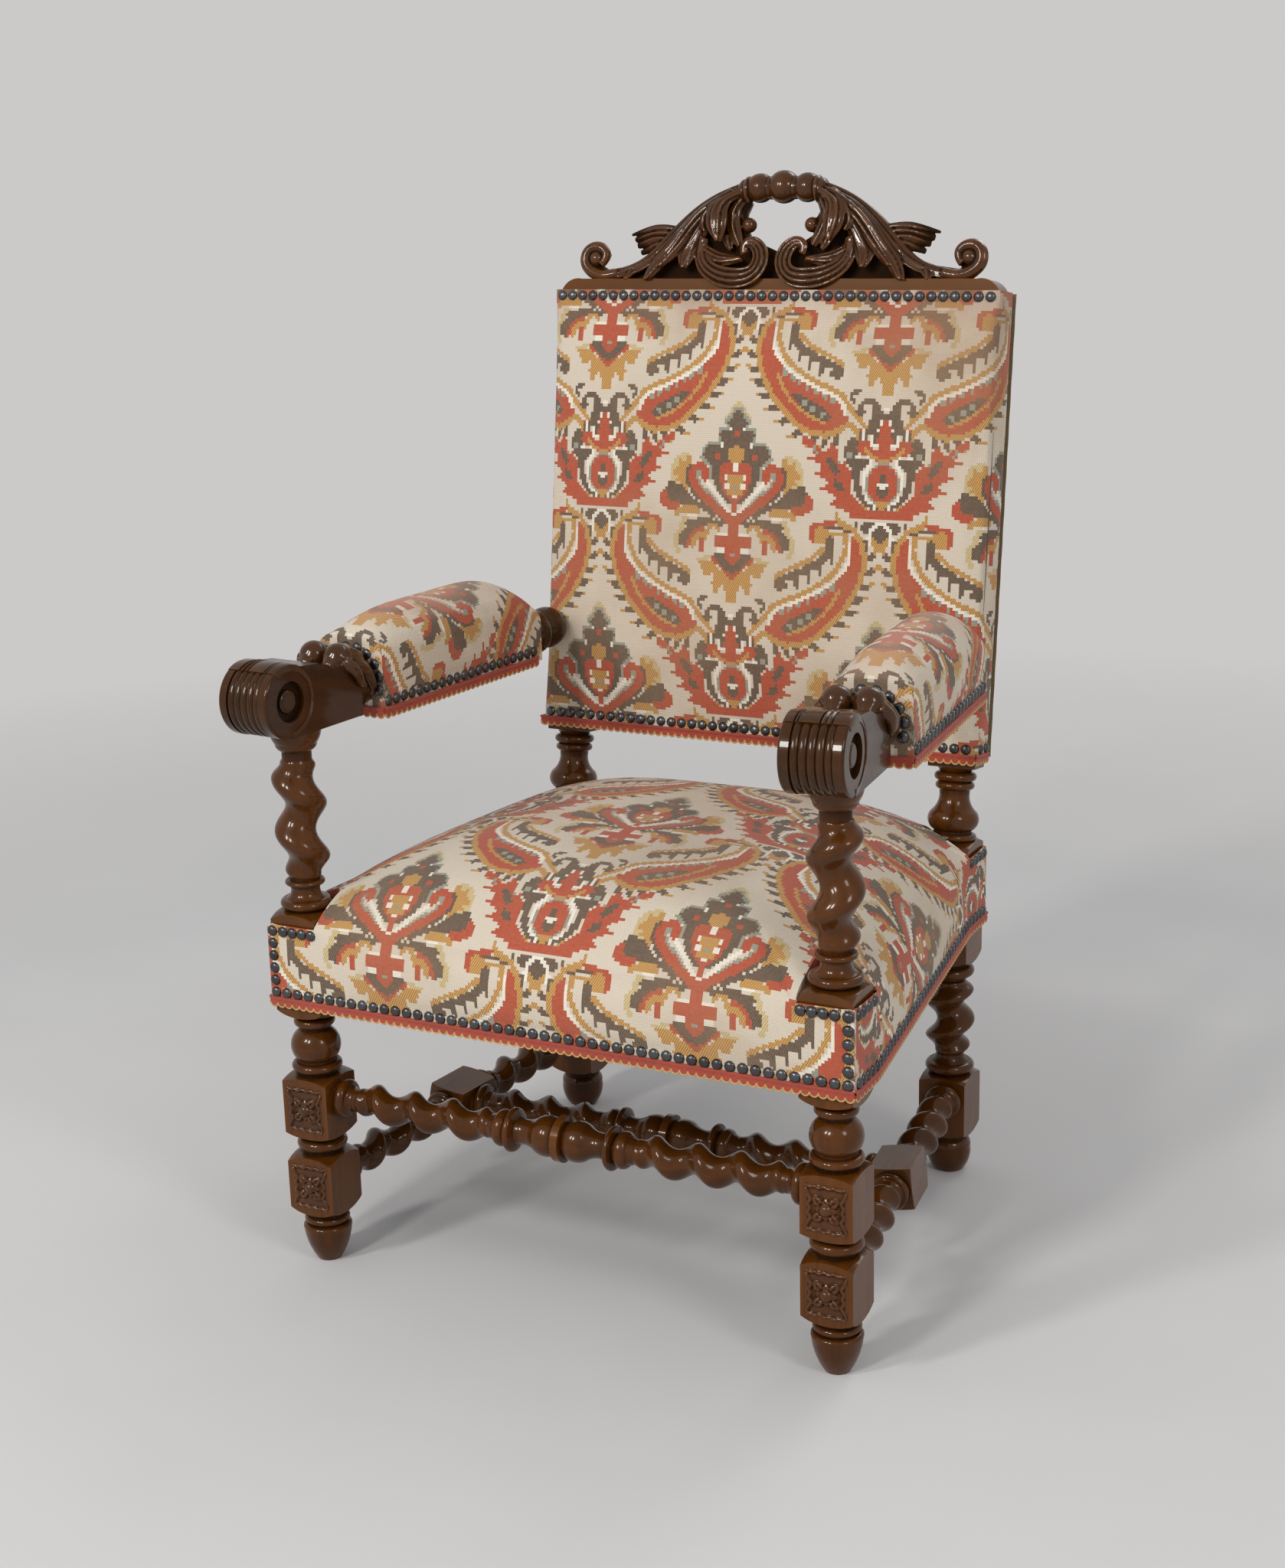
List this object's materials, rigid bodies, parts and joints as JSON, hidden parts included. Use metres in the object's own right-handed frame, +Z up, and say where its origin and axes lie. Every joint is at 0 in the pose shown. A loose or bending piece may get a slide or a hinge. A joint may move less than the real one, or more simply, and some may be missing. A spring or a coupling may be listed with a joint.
{
  "type": "upholstered armchair",
  "caption": "Carved wooden armchair with twisted turned legs and stretchers, a padded seat and back in patterned cloth, padded scroll arms and a pierced crest.",
  "frame": {"origin": "the middle of the box round the whole chair, at floor level, where the four feet stand", "axes": "+Z up; -Y is the way a sitter faces; +X to the right of someone who faces the chair's front"},
  "size_m": [0.6776, 0.6887, 1.1336],
  "materials": {
    "wood": "dark polished hardwood",
    "tapestry": "woven cloth with stepped flowers and leaves in red, gold, grey and cream",
    "nail_metal": "dark antiqued heads",
    "braid": "flat woven braid",
    "webbing": "coarse jute strap",
    "steel": "bare drawn wire",
    "canvas": "plain hessian",
    "dust_cloth": "thin black cotton",
    "back_cloth": "plain woven cloth",
    "stuffing": "curled hair and wadding"
  },
  "bodies": {
    "root": {"front_post_right": "wood", "front_post_left": "wood", "back_post_right": "wood", "back_post_left": "wood", "seat_rail_front": "wood", "seat_rail_back": "wood", "seat_rail_right": "wood", "seat_rail_left": "wood", "corner_blocks": "wood", "front_stretcher": "wood", "cross_stretcher": "wood", "side_stretcher_right": "wood", "side_stretcher_left": "wood", "arm_right": "wood", "arm_left": "wood", "back_rail_bottom": "wood", "back_rail_top": "wood", "crest": "wood", "crest_dowels": "wood", "corner_screws": "steel", "seat_springs": "steel", "seat_webbing": "webbing", "back_webbing": "webbing", "seat_canvas": "canvas", "seat_dust_cloth": "dust_cloth", "back_outer_cover": "back_cloth", "seat_stuffing": "stuffing", "back_stuffing": "stuffing", "arm_pad_right": "stuffing", "arm_pad_left": "stuffing", "seat_cover": "tapestry", "back_cover": "tapestry", "arm_cover_right": "tapestry", "arm_cover_left": "tapestry", "seat_nails": "nail_metal", "back_nails": "nail_metal", "arm_nails_right": "nail_metal", "arm_nails_left": "nail_metal", "seat_braid": "braid", "back_braid": "braid", "arm_braid_right": "braid", "arm_braid_left": "braid"}
  },
  "joints": []
}
